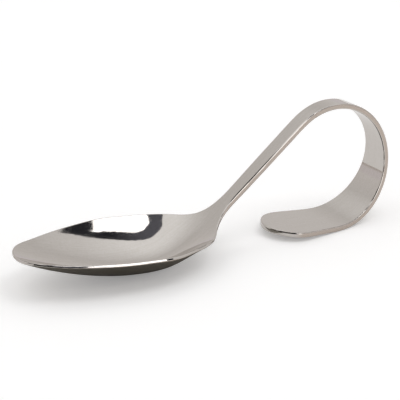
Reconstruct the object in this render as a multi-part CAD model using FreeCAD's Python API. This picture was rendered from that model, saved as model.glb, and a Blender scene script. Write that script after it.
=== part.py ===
import FreeCAD, Part
import math
import os

Vector = FreeCAD.Vector
Vector2d = FreeCAD.Base.Vector2d

# A tasting spoon with a curled handle, pressed and bent from one piece of stainless steel strip.
# It is described as a flat blank and what forming does to it:
#   run        distance along the centre line of the upper face, from the bowl's tip to the handle's end
#   side       distance to one side of that centre line
# The centre line is a chain of straights and arcs in the XZ plane, blended where they meet.
# The bowl is a trough whose sides curve up from the centre line and fade out along the neck.

# Bowl, in millimetres and degrees
bowl_length = 69.0
bowl_width = 39.3
tip_angle = -27.6
front_angle = -19.9
floor_angle = -13.1
back_angle = -1.9
shoulder_angle = 25.2
trough_tip_radius = 17.75
trough_back_radius = 22.0
trough_fade_start = 52.0
trough_fade_end = 84.0

# Handle, in millimetres and degrees
neck_length = 16.4
shank_length = 41.9
shank_angle = 38.2
shank_width = 5.84
loop_radius = 21.4
foot_length = 23.5
foot_angle = 5.1
foot_width = 21.2
foot_end_length = 14.0

# Sheet, in millimetres
tip_thickness = 0.85
bowl_thickness = 1.05
shoulder_thickness = 0.7
handle_thickness = 1.85
bowl_edge_radius = 0.28
handle_edge_radius = 0.5
bend_blend = 6.0

# Runs between which the sheet goes from one thickness to the next, in millimetres
front_change_end = 30.0
back_change_start = 40.0
back_change_end = 64.0
neck_change_start = 68.0
neck_change_end = 88.0

# Spacing of the stations that the faces are laid through, in millimetres
run_step = 2.5
side_step = 2.0
outline_step = 4.0
spare_spans = 4

# Places along the bowl where its angles hold, as shares of its length
ANGLE_STATIONS = (0.0, 0.2, 0.42, 0.64, 0.84)
# Half widths of the bowl's outline: share of the bowl's length, share of its greatest half width
BOWL_OUTLINE = (
    (0.0275, 0.366),
    (0.117, 0.58),
    (0.249, 0.768),
    (0.412, 0.921),
    (0.594, 1.0),
    (0.757, 0.956),
    (0.878, 0.842),
    (0.959, 0.678),
    (1.0, 0.512),
    (1.041, 0.347),
    (1.101, 0.212),
)
# Flare of the handle: share of the way from the shank to the foot's rounded end, share of the widening
HANDLE_OUTLINE = (
    (0.0, 0.02),
    (0.06, -0.008),
    (0.15, 0.014),
    (0.27, 0.022),
    (0.49, 0.15),
    (0.70, 0.43),
    (0.90, 0.845),
    (1.0, 1.0),
)
# The foot's rounded end: share of its length, share of the foot's half width
END_OUTLINE = (
    (0.5, 0.975),
    (0.86, 0.555),
)
# Neighbours borrowed from the other side, which carry the outline squarely through its two ends
END_NEIGHBOURS = 3


class CentreLine:
    """The side view's headings by run, averaged over bend_blend so that no bend starts abruptly."""

    def __init__(self, runs, headings):
        self.runs = runs
        self.headings = headings
        self.length = runs[-1]
        self.nodes = {0: Vector(0, 0, 0)}

    def sharp_heading(self, run):
        """The heading of the unblended chain."""
        spans = zip(self.runs, self.runs[1:], self.headings, self.headings[1:])
        for start, end, first, last in spans:
            if run <= end:
                share = max(run - start, 0.0) / (end - start)
                return first + (last - first) * share
        return self.headings[-1]

    def heading_sum(self, run):
        """The unblended heading added up from the tip to this run."""
        if run <= 0:
            return self.headings[0] * run
        total = 0.0
        spans = zip(self.runs, self.runs[1:], self.headings, self.headings[1:])
        for start, end, first, last in spans:
            if run <= end:
                return total + (first + self.sharp_heading(run)) / 2 * (run - start)
            total += (first + last) / 2 * (end - start)
        return total + self.headings[-1] * (run - self.length)

    def heading(self, run):
        half = bend_blend / 2
        return (self.heading_sum(run + half) - self.heading_sum(run - half)) / bend_blend

    def step(self, start, end):
        """The move from one run to another close by, by Simpson's rule."""
        angles = (self.heading(start), self.heading((start + end) / 2), self.heading(end))
        weights = (1, 4, 1)
        along = sum(w * math.cos(a) for w, a in zip(weights, angles)) / 6
        up = sum(w * math.sin(a) for w, a in zip(weights, angles)) / 6
        return Vector(along, 0, up) * (end - start)

    def node(self, index):
        """The point at a whole number of millimetres of run."""
        while index not in self.nodes:
            near = max(self.nodes) if index > 0 else min(self.nodes)
            far = near + 1 if index > 0 else near - 1
            self.nodes[far] = self.nodes[near] + self.step(near, far)
        return self.nodes[index]

    def point(self, run):
        near = round(run)
        return self.node(near) + self.step(near, run)


def shank_start():
    return ANGLE_STATIONS[-1] * bowl_length + neck_length


def loop_start():
    return shank_start() + shank_length


def centre_line():
    runs = [share * bowl_length for share in ANGLE_STATIONS]
    runs += [shank_start(), loop_start()]
    loop_end = -180.0 - foot_angle
    runs.append(runs[-1] + loop_radius * math.radians(shank_angle - loop_end))
    runs.append(runs[-1] + foot_length)
    angles = [tip_angle, front_angle, floor_angle, back_angle, shoulder_angle]
    angles += [shank_angle, shank_angle, loop_end, loop_end]
    return CentreLine(runs, [math.radians(angle) for angle in angles])


def smooth_step(value, start, end):
    """0 before start, 1 after end, with no break in slope or curvature between."""
    share = min(max((value - start) / (end - start), 0.0), 1.0)
    return share**3 * (share * (6 * share - 15) + 10)


def trough_rise(run, side):
    """How far the upper face stands above its centre line."""
    tip, back = 0.5 / trough_tip_radius, 0.5 / trough_back_radius
    bend = tip + (back - tip) * run / bowl_length
    fade = 1 - smooth_step(run, trough_fade_start, trough_fade_end)
    return bend * fade * side**2


def thickness(run):
    """The sheet is rolled thinner for the bowl, and ground thinner at its tip and its shoulders."""
    front = smooth_step(run, 0, front_change_end) * (bowl_thickness - tip_thickness)
    back = smooth_step(run, back_change_start, back_change_end) * (shoulder_thickness - bowl_thickness)
    neck = smooth_step(run, neck_change_start, neck_change_end) * (handle_thickness - shoulder_thickness)
    return tip_thickness + front + back + neck


def edge_radius(run):
    share = smooth_step(run, neck_change_start, neck_change_end)
    return bowl_edge_radius + (handle_edge_radius - bowl_edge_radius) * share


def upper_point(line, run, side):
    heading = line.heading(run)
    rise = trough_rise(run, side)
    across = Vector(-math.sin(heading), 0, math.cos(heading))
    return line.point(run) + across * rise + Vector(0, side, 0)


def slopes_at(point_at, run, side):
    """How a face's point moves with run and with side."""
    tiny = 0.01
    along = (point_at(run + tiny, side) - point_at(run - tiny, side)) * (0.5 / tiny)
    aside = (point_at(run, side + tiny) - point_at(run, side - tiny)) * (0.5 / tiny)
    return along, aside


def normal_at(line, run, side):
    along, aside = slopes_at(lambda r, s: upper_point(line, r, s), run, side)
    return along.cross(aside).normalize()


def lower_point(line, run, side):
    return upper_point(line, run, side) - normal_at(line, run, side) * thickness(run)


def spline_poles(points):
    """Poles of the even cubic spline that passes through all but the first and last of these points."""
    triples = zip(points, points[1:], points[2:])
    return [(here * 8 - before - after) * (1 / 6) for before, here, after in triples]


def knots(first, step, spans):
    return [first + step * i for i in range(spans + 1)], [4] + [1] * (spans - 1) + [4]


def face_surface(point_at, length):
    """The surface of one face of the sheet. Its own parameters are run and side."""
    run_spans = math.ceil(length / run_step) + 2 * spare_spans
    step = length / (run_spans - 2 * spare_spans)
    side_spans = 2 * (math.ceil(bowl_width / 2 / side_step) + spare_spans)
    runs = [(i - spare_spans) * step for i in range(-2, run_spans + 3)]
    sides = [(i - side_spans / 2) * side_step for i in range(-2, side_spans + 3)]
    rows = [spline_poles([point_at(run, side) for side in sides]) for run in runs]
    columns = [spline_poles(column) for column in zip(*rows)]
    poles = [list(row) for row in zip(*columns)]
    run_knots, run_counts = knots(-spare_spans * step, step, run_spans)
    side_knots, side_counts = knots(-side_spans / 2 * side_step, side_step, side_spans)
    surface = Part.BSplineSurface()
    surface.buildFromPolesMultsKnots(
        poles, run_counts, side_counts, run_knots, side_knots, False, False, 3, 3
    )
    return surface


def outline_points(length):
    """Points along one side of the flat blank, from the bowl's tip to the handle's end."""
    half = [Vector2d(s * bowl_length, w * bowl_width / 2) for s, w in BOWL_OUTLINE]
    start = shank_start() + bend_blend
    end = length - foot_end_length
    narrow, wide = shank_width / 2, foot_width / 2
    for share, widening in HANDLE_OUTLINE:
        half.append(Vector2d(start + share * (end - start), narrow + widening * (wide - narrow)))
    for share, width in END_OUTLINE:
        half.append(Vector2d(end + share * foot_end_length, width * wide))
    return [Vector2d(0, 0)] + half + [Vector2d(length, 0)]


def mirrored(points):
    return [Vector2d(point.x, -point.y) for point in reversed(points)]


def even_outline(length):
    """Stations at even steps along one side of the blank and back along the other, with their directions."""
    half = outline_points(length)
    lead = END_NEIGHBOURS
    points = mirrored(half[1 : lead + 1]) + half + mirrored(half[-lead - 1 : -1])
    gaps = [(b - a).length() for a, b in zip(points, points[1:])]
    places = [sum(gaps[:i]) for i in range(len(points))]
    curve = Part.Geom2d.BSplineCurve2d()
    curve.interpolate(Points=points, Parameters=places)
    first, last = places[lead], places[-lead - 1]
    count = math.ceil((last - first) / outline_step)
    step = (last - first) / count
    side = []
    for index in range(count + 1):
        place = first + index * step
        tiny = step / 100
        side.append((curve.value(place), curve.value(place + tiny) - curve.value(place - tiny)))
    back = [(Vector2d(p.x, -p.y), Vector2d(-d.x, d.y)) for p, d in reversed(side[1:-1])]
    return side + back


def inset(surface, place, outward, distance):
    """The point of a face that lies this far inside a place on the outline."""
    along, aside = slopes_at(surface.value, place.x, place.y)
    a, b, c = along.dot(along), along.dot(aside), aside.dot(aside)
    p, q = outward.dot(along), outward.dot(aside)
    scale = distance / (a * c - b * b)
    return surface.value(place.x - (c * p - b * q) * scale, place.y - (a * q - b * p) * scale)


def rounding(start, end, leaving, arriving, radius):
    """A quarter circle from start to end, leaving and arriving as given, in two cubic halves."""
    middle = (start + end) * 0.5 + (leaving - arriving) * radius * (math.sqrt(0.5) - 0.5)
    heading = (leaving + arriving) * math.sqrt(0.5)
    # handles this long keep a cubic to an eighth of a circle
    handle = radius * math.tan(math.pi / 16) * 4 / 3
    return [
        [start, start + leaving * handle, middle - heading * handle, middle],
        [middle, middle + heading * handle, end - arriving * handle, end],
    ]


def edge_section(upper, lower, place, direction):
    """The cut edge at one station, from the upper face to the lower, as the poles of each of its pieces."""
    along, aside = slopes_at(upper.value, place.x, place.y)
    normal = along.cross(aside).normalize()
    outward = normal.cross(along * direction.x + aside * direction.y).normalize()
    radius = edge_radius(place.x)
    top = inset(upper, place, outward, radius)
    bottom = inset(lower, place, outward, radius)
    high = upper.value(place.x, place.y) - normal * radius
    low = lower.value(place.x, place.y) + normal * radius
    upper_round = rounding(top, high, outward, normal * -1, radius)
    lower_round = rounding(low, bottom, normal * -1, outward * -1, radius)
    return upper_round + [[high, low]] + lower_round


def edge_strip(sections, first, last):
    """One strip of the cut edge, from one station to another, with room at both ends for the spline."""
    ring = [sections[i % len(sections)] for i in range(first - spare_spans - 2, last + spare_spans + 3)]
    columns = [spline_poles(column) for column in zip(*ring)]
    poles = [list(row) for row in zip(*columns)]
    degree = len(poles[0]) - 1
    turn_knots, turn_counts = knots(first - spare_spans, 1, last - first + 2 * spare_spans)
    surface = Part.BSplineSurface()
    surface.buildFromPolesMultsKnots(
        poles, turn_counts, [degree + 1] * 2, turn_knots, [0, 1], False, False, 3, degree
    )
    return surface.toShape(first, last, 0, 1)


def bounded_face(surface, strips, points):
    """The face inside the edges of these strips that pass through these points."""
    edges = []
    for strip, point in zip(strips, points):
        edges.append(min(strip.Edges, key=lambda edge: edge.distToShape(Part.Vertex(point))[0]))
    face = Part.Face(surface, Part.Wire(edges))
    face.validate()
    return face


def formed_sheet(line):
    """The spoon as one closed solid, still lying as its centre line was laid out."""
    upper = face_surface(lambda run, side: upper_point(line, run, side), line.length)
    lower = face_surface(lambda run, side: lower_point(line, run, side), line.length)
    cut = [edge_section(upper, lower, place, direction) for place, direction in even_outline(line.length)]
    half = len(cut) // 2
    parts = list(zip(*cut))
    halves = ((0, half), (half, 2 * half))
    rows = [[edge_strip(part, first, last) for first, last in halves] for part in parts]
    # a station part way round each half tells its strips' long edges apart
    sample = [half // 2, half + half // 2]
    faces = [
        bounded_face(upper, rows[0], [parts[0][station][0] for station in sample]),
        bounded_face(lower, rows[-1], [parts[-1][station][-1] for station in sample]),
    ]
    shell = Part.makeShell(faces + [strip for row in rows for strip in row])
    shell.sewShape()
    solid = Part.Solid(shell)
    if solid.Volume < 0:
        solid.reverse()
    return solid


def lowest(points, pitch):
    """The point that is lowest once the spoon is turned by pitch about the Y axis."""
    return min(points, key=lambda point: point.z * math.cos(pitch) - point.x * math.sin(pitch))


def rest_pitch(line):
    """The turn that brings the bowl's lowest point and the loop's lowest point level, in radians."""
    bowl = [lower_point(line, run, 0) for run in range(round(shank_start()))]
    loop = [upper_point(line, run, 0) for run in range(round(loop_start()), round(line.length))]
    pitch = 0.0
    # each turn can move the lowest points a little, so it is worked out again from where they are then
    for _ in range(4):
        front, back = lowest(bowl, pitch), lowest(loop, pitch)
        pitch = math.atan2(back.z - front.z, back.x - front.x)
    return pitch


def spoon():
    line = centre_line()
    solid = formed_sheet(line)
    solid.rotate(Vector(0, 0, 0), Vector(0, 1, 0), math.degrees(rest_pitch(line)))
    box = solid.optimalBoundingBox(False, False)
    solid.translate(Vector(-box.Center.x, 0, -box.ZMin))
    return solid


def main():
    os.makedirs("parts", exist_ok=True)
    shape = spoon()
    box = shape.optimalBoundingBox(False, False)
    print("valid", shape.isValid(), "faces", len(shape.Faces), "volume", round(shape.Volume, 1))
    print("size", round(box.XLength, 2), round(box.YLength, 2), round(box.ZLength, 2))
    shape.exportStep("parts/spoon.step")


main()
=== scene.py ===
import math

import bpy
from mathutils import Matrix, Vector

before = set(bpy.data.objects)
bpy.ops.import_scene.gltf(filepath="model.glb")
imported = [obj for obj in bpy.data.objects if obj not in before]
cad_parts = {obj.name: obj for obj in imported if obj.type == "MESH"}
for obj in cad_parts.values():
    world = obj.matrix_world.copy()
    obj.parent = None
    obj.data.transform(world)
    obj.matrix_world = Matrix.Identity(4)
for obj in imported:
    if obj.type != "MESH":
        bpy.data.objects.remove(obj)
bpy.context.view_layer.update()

# Lengths are in metres and angles in degrees. x runs from the spoon's tip to its loop, and z is up.

# The camera stands where the photograph was taken from
CAMERA_AIM = Vector((-0.00344, 0.0, 0.01833))
CAMERA_TURN = 31.78
CAMERA_TILT = 21.35
CAMERA_DISTANCE = 0.49955
CAMERA_LENS_MM = 140.0

# The buffed faces vary between two warm greys, and the cut edges are darker and browner
STEEL_PALE = "#D1CCC8"
STEEL_DEEP = "#CAC5BF"
STEEL_EDGE = "#C1B5AB"
# Polishing lines 15 mm long and 0.4 mm apart, drawn coarser than the real ones so that they show
LINES_PER_METRE = (65.0, 2500.0, 400.0)
LINES_DETAIL = 3.0
LINES_ROUGHNESS = 0.6
LINES_WEIGHT = 1.4
# The faint orange peel that pressing leaves, in dimples of about 0.7 mm
PEEL_PER_METRE = 1400.0
PEEL_DETAIL = 2.0
PEEL_ROUGHNESS = 0.5
PEEL_STRENGTH = 0.03
PEEL_DEPTH = 0.00002
# The range of the lines and the peel added up, and the gloss from its one end to its other
FINISH_LOW = 0.75
FINISH_HIGH = 1.65
GLOSSIEST = 0.03
DULLEST = 0.09
# How far sideways the surface faces where the cut edge starts and where it is full
EDGE_START = 0.86
EDGE_FULL = 0.98
EDGE_ROUGHNESS = 0.22

WHITE = "#FFFFFF"
FLOOR = "#F8F8F8"
FLOOR_SIDE = 60.0
# The light added to the floor to make it white in the picture, and the share of it that the steel sees
FLOOR_FILL = 0.23
MIRRORED_SHARE = 0.2

# The tent's tones by the sine of the height above the horizon, from the faint seam at the floor to the roof
TENT_TONES = (
    (0.0, "#BFB8B3"),
    (0.02, "#C2BBB6"),
    (0.07, "#D8D3D4"),
    (0.19, "#D8D3D4"),
    (0.24, "#DCD9D7"),
    (0.38, "#D9D6D4"),
    (0.57, "#D5D3D1"),
    (0.9, WHITE),
)

# The softbox hangs level over the spoon, and a black cloth lies on it. Corners and sizes are shares of its height.
BOX_HEIGHT = 0.7
BOX_TURN = -7.0
BOX_CORNER = (0.0, -0.06)
BOX_SIZE = (0.77, 0.55)
SOFTBOX_RADIANCE = 2.4
CLOTH_TURN = -14.0
CLOTH_CORNER = (-0.10, 0.19)
CLOTH_SIZE = (1.15, 1.0)
CLOTH_GAP = 0.002
# The cloth's black, and a lighter tone painted towards its left end as the softbox's spilt light
CLOTH_PAINTED_LIT = "#6C6D76"
CLOTH_DARK = "#2B2C32"
# The stretch of the cloth, as shares of its width from its middle, over which its painted light goes from lit to
# dark
CLOTH_PAINTED_LIGHT_SPAN = (-0.38, 0.15)

# Cards that only the steel reflects: the middle and the size of each
# The grey card under the bowl is painted shade: it gives the underside the dark of the shadow under the bowl
PAINTED_SHADE_GREY = "#94928B"
PAINTED_SHADE_PLACE = ((-0.0285, -0.004, 0.0006), (0.088, 0.070))
OPENING = "#2C2926"
ROOF_OPENING = ((-0.567, 0.12, BOX_HEIGHT), (0.546, 0.805))
SIDE_OPENING = ((-0.73, -0.61, 0.85), (1.3, 1.7))
# A white card whose light from the softbox's spill is painted in as its own glow
WHITE_CARD = ((0.03, -0.80, 0.27), (0.25, 0.45))
WHITE_CARD_PAINTED_GLOW = 1.8

# The sockets of a Mix node that takes colours, and of one that takes numbers
COLOUR_A, COLOUR_B, COLOUR_OUT = 6, 7, 2
NUMBER_A, NUMBER_B, NUMBER_OUT = 2, 3, 0


def linear(code):
    """An sRGB hex colour as the linear colour that a shader takes."""
    values = [int(code[i : i + 2], 16) / 255 for i in (1, 3, 5)]
    return [v / 12.92 if v <= 0.04045 else ((v + 0.055) / 1.055) ** 2.4 for v in values] + [1.0]


def add_node(tree, kind, inputs=(), **settings):
    """Adds a node, sets its properties, and gives each input a link from another node or a value."""
    node = tree.nodes.new(kind)
    for name, value in settings.items():
        setattr(node, name, value)
    for name, value in dict(inputs).items():
        if isinstance(value, bpy.types.NodeSocket):
            tree.links.new(value, node.inputs[name])
        else:
            node.inputs[name].default_value = value
    return node


def new_material(name):
    """An empty material and its node tree."""
    material = bpy.data.materials.new(name)
    material.use_nodes = True
    material.node_tree.nodes.clear()
    return material, material.node_tree


def polished_stainless():
    """Stainless steel, pressed and then buffed along its length: a warm grey mirror with fine polishing lines."""
    material, tree = new_material("buffed_stainless_steel")
    place = add_node(tree, "ShaderNodeTexCoord").outputs

    along = add_node(tree, "ShaderNodeMapping", {"Vector": place["Object"], "Scale": LINES_PER_METRE})
    lines = add_node(
        tree,
        "ShaderNodeTexNoise",
        {"Vector": along.outputs[0], "Scale": 1.0, "Detail": LINES_DETAIL, "Roughness": LINES_ROUGHNESS},
    )
    peel = add_node(
        tree,
        "ShaderNodeTexNoise",
        {"Vector": place["Object"], "Scale": PEEL_PER_METRE, "Detail": PEEL_DETAIL, "Roughness": PEEL_ROUGHNESS},
    ).outputs["Fac"]
    both = add_node(
        tree, "ShaderNodeMath", {0: lines.outputs["Fac"], 1: LINES_WEIGHT, 2: peel}, operation="MULTIPLY_ADD"
    )
    span = {"Value": both.outputs[0], "From Min": FINISH_LOW, "From Max": FINISH_HIGH}
    tone = add_node(tree, "ShaderNodeMapRange", span).outputs[0]
    buffed = add_node(
        tree,
        "ShaderNodeMix",
        {0: tone, COLOUR_A: linear(STEEL_DEEP), COLOUR_B: linear(STEEL_PALE)},
        data_type="RGBA",
    ).outputs[COLOUR_OUT]
    gloss = add_node(tree, "ShaderNodeMapRange", {**span, "To Min": GLOSSIEST, "To Max": DULLEST}).outputs[0]

    # The blanked edge faces sideways. It is only tumbled: darker, warmer and less bright than the buffed faces.
    facing = add_node(tree, "ShaderNodeSeparateXYZ", {"Vector": place["Normal"]})
    sideways = add_node(tree, "ShaderNodeMath", {0: facing.outputs["Y"]}, operation="ABSOLUTE")
    edge = add_node(
        tree, "ShaderNodeMapRange", {"Value": sideways.outputs[0], "From Min": EDGE_START, "From Max": EDGE_FULL}
    ).outputs[0]
    colour = add_node(
        tree, "ShaderNodeMix", {0: edge, COLOUR_A: buffed, COLOUR_B: linear(STEEL_EDGE)}, data_type="RGBA"
    ).outputs[COLOUR_OUT]
    roughness = add_node(
        tree, "ShaderNodeMix", {0: edge, NUMBER_A: gloss, NUMBER_B: EDGE_ROUGHNESS}, data_type="FLOAT"
    ).outputs[NUMBER_OUT]

    bump = add_node(tree, "ShaderNodeBump", {"Height": peel, "Strength": PEEL_STRENGTH, "Distance": PEEL_DEPTH})
    steel = add_node(
        tree,
        "ShaderNodeBsdfPrincipled",
        {"Base Color": colour, "Roughness": roughness, "Normal": bump.outputs[0], "Metallic": 1.0},
    )
    add_node(tree, "ShaderNodeOutputMaterial", {"Surface": steel.outputs[0]})
    return material


def matt_card(name, code):
    """Painted card or an open gap, matt and in one tone."""
    material, tree = new_material(name)
    card = add_node(tree, "ShaderNodeBsdfDiffuse", {"Color": linear(code)})
    add_node(tree, "ShaderNodeOutputMaterial", {"Surface": card.outputs[0]})
    return material


def painted_light_card():
    """White card that glows by itself, painted light in place of the softbox's spill, which runs a white line along
    the near edges of the steel.
    """
    material, tree = new_material("painted_light_white_card")
    glow = add_node(tree, "ShaderNodeEmission", {"Color": linear(WHITE), "Strength": WHITE_CARD_PAINTED_GLOW})
    add_node(tree, "ShaderNodeOutputMaterial", {"Surface": glow.outputs[0]})
    return material


def black_cloth_painted_light():
    """Black woven cloth, matt, with painted light: its colour is lighter towards its left end, where more of the
    spilt light would fall.
    """
    material, tree = new_material("black_cloth_painted_light")
    place = add_node(tree, "ShaderNodeTexCoord").outputs["Object"]
    across = add_node(tree, "ShaderNodeSeparateXYZ", {"Vector": place}).outputs["X"]
    start, end = CLOTH_PAINTED_LIGHT_SPAN
    dark = add_node(tree, "ShaderNodeMapRange", {"Value": across, "From Min": start, "From Max": end}).outputs[0]
    # Painted light: the colour goes from the lit tone at the cloth's left end to black
    colour = add_node(
        tree, "ShaderNodeMix", {0: dark, COLOUR_A: linear(CLOTH_PAINTED_LIT), COLOUR_B: linear(CLOTH_DARK)}, data_type="RGBA"
    ).outputs[COLOUR_OUT]
    cloth = add_node(tree, "ShaderNodeBsdfDiffuse", {"Color": colour})
    add_node(tree, "ShaderNodeOutputMaterial", {"Surface": cloth.outputs[0]})
    return material


def white_sweep():
    """Matt white paper. Its lift to white in the picture reaches the steel only in part, and its shadows stay."""
    material, tree = new_material("white_sweep")
    paper = add_node(tree, "ShaderNodeBsdfDiffuse", {"Color": linear(FLOOR)}).outputs[0]
    path = add_node(tree, "ShaderNodeLightPath").outputs
    mirrored = add_node(
        tree, "ShaderNodeMath", {0: path["Is Glossy Ray"], 1: path["Is Transmission Ray"]}, operation="ADD"
    ).outputs[0]
    seen = add_node(
        tree,
        "ShaderNodeMath",
        {0: mirrored, 1: MIRRORED_SHARE, 2: path["Is Camera Ray"]},
        operation="MULTIPLY_ADD",
    ).outputs[0]
    lift = add_node(tree, "ShaderNodeMath", {0: seen, 1: FLOOR_FILL}, operation="MULTIPLY").outputs[0]
    fill = add_node(tree, "ShaderNodeEmission", {"Color": linear(WHITE), "Strength": lift}).outputs[0]
    whole = add_node(tree, "ShaderNodeAddShader", {0: paper, 1: fill})
    add_node(tree, "ShaderNodeOutputMaterial", {"Surface": whole.outputs[0]})
    return material


def add_camera():
    """The camera looks at its aim, turned from the y axis towards x and tilted down."""
    turn, tilt = math.radians(CAMERA_TURN), math.radians(CAMERA_TILT)
    look = Vector((math.sin(turn) * math.cos(tilt), math.cos(turn) * math.cos(tilt), -math.sin(tilt)))
    right = Vector((math.cos(turn), -math.sin(turn), 0.0))
    turned = Matrix((right, right.cross(look), -look)).transposed()
    data = bpy.data.cameras.new("camera")
    data.lens = CAMERA_LENS_MM
    camera = bpy.data.objects.new("camera", data)
    camera.matrix_world = Matrix.Translation(CAMERA_AIM - look * CAMERA_DISTANCE) @ turned.to_4x4()
    bpy.context.scene.collection.objects.link(camera)
    bpy.context.scene.camera = camera


def add_tent():
    """A pale tent all round, whose tone changes with height."""
    world = bpy.data.worlds.new("white_tent")
    bpy.context.scene.world = world
    world.use_nodes = True
    tree = world.node_tree
    way = add_node(tree, "ShaderNodeTexCoord").outputs["Generated"]
    height = add_node(tree, "ShaderNodeSeparateXYZ", {"Vector": way}).outputs["Z"]
    tones = add_node(tree, "ShaderNodeValToRGB", {"Fac": height})
    ramp = tones.color_ramp.elements
    for place, code in TENT_TONES[1:-1]:
        ramp.new(place).color = linear(code)
    for end in (0, -1):
        place, code = TENT_TONES[end]
        ramp[end].position = place
        ramp[end].color = linear(code)
    tree.links.new(tones.outputs["Color"], tree.nodes["Background"].inputs["Color"])


def overhead(corner, size, turn):
    """The middle and size in metres of a level rectangle, from its far left corner and size in shares of height."""
    across, back = size[0] / 2, -size[1] / 2
    x = corner[0] + across * math.cos(turn) - back * math.sin(turn)
    y = corner[1] + across * math.sin(turn) + back * math.cos(turn)
    return (x * BOX_HEIGHT, y * BOX_HEIGHT), (size[0] * BOX_HEIGHT, size[1] * BOX_HEIGHT)


def add_softbox():
    """The one lamp, which the bowl mirrors."""
    turn = math.radians(BOX_TURN)
    middle, size = overhead(BOX_CORNER, BOX_SIZE, turn)
    data = bpy.data.lights.new("softbox", "AREA")
    data.shape = "RECTANGLE"
    data.size, data.size_y = size
    data.energy = SOFTBOX_RADIANCE * math.pi * data.size * data.size_y
    lamp = bpy.data.objects.new("softbox", data)
    lamp.location = (*middle, BOX_HEIGHT)
    lamp.rotation_euler = (0.0, 0.0, turn)
    bpy.context.scene.collection.objects.link(lamp)


def plane(name, middle, size, material, turn=0.0):
    """A flat level rectangle that belongs to the studio and not to the spoon."""
    bpy.ops.object.select_all(action="DESELECT")
    bpy.ops.mesh.primitive_plane_add(size=1.0, location=middle, rotation=(0.0, 0.0, turn))
    card = bpy.context.object
    card.name = name
    card.scale = (*size, 1.0)
    card.data.materials.append(material)
    return card


def unseen(card):
    """A card that only the steel reflects. It throws no shadow and no light on the floor."""
    card.visible_camera = False
    card.visible_diffuse = False
    card.visible_shadow = False


def upright(card):
    """Stands a card on edge and faces it to the spoon."""
    card.rotation_euler = (math.pi / 2, 0.0, math.atan2(-card.location.x, card.location.y))


def add_cloth():
    """The cloth over the softbox draws the dark band round the softbox's reflection in the bowl."""
    turn = math.radians(CLOTH_TURN)
    middle, size = overhead(CLOTH_CORNER, CLOTH_SIZE, turn)
    cloth = plane("cloth", (*middle, BOX_HEIGHT + CLOTH_GAP), size, black_cloth_painted_light(), turn)
    cloth.visible_camera = False


def add_cards():
    """A grey card darkens the bowl's underside as painted shade. The tent's openings and a glowing white card, which
    is painted light, draw lines along the edges.
    """
    # Painted shade: a grey card under the bowl that only the steel sees
    unseen(plane("painted_shade", *PAINTED_SHADE_PLACE, matt_card("painted_shade_material", PAINTED_SHADE_GREY)))
    unseen(plane("roof_opening", *ROOF_OPENING, matt_card("dark_roof", OPENING)))
    for card in (
        # Painted light: the white card glows by itself and only the steel sees it
        plane("white_card", *WHITE_CARD, painted_light_card()),
        plane("open_side", *SIDE_OPENING, matt_card("dark_opening", OPENING)),
    ):
        upright(card)
        unseen(card)


add_camera()
plane("floor", (0.0, 0.0, 0.0), (FLOOR_SIDE, FLOOR_SIDE), white_sweep())
add_tent()
add_softbox()
add_cloth()
add_cards()
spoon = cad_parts["spoon"]
spoon.data.materials.clear()
spoon.data.materials.append(polished_stainless())
bpy.context.scene.view_settings.view_transform = "Standard"
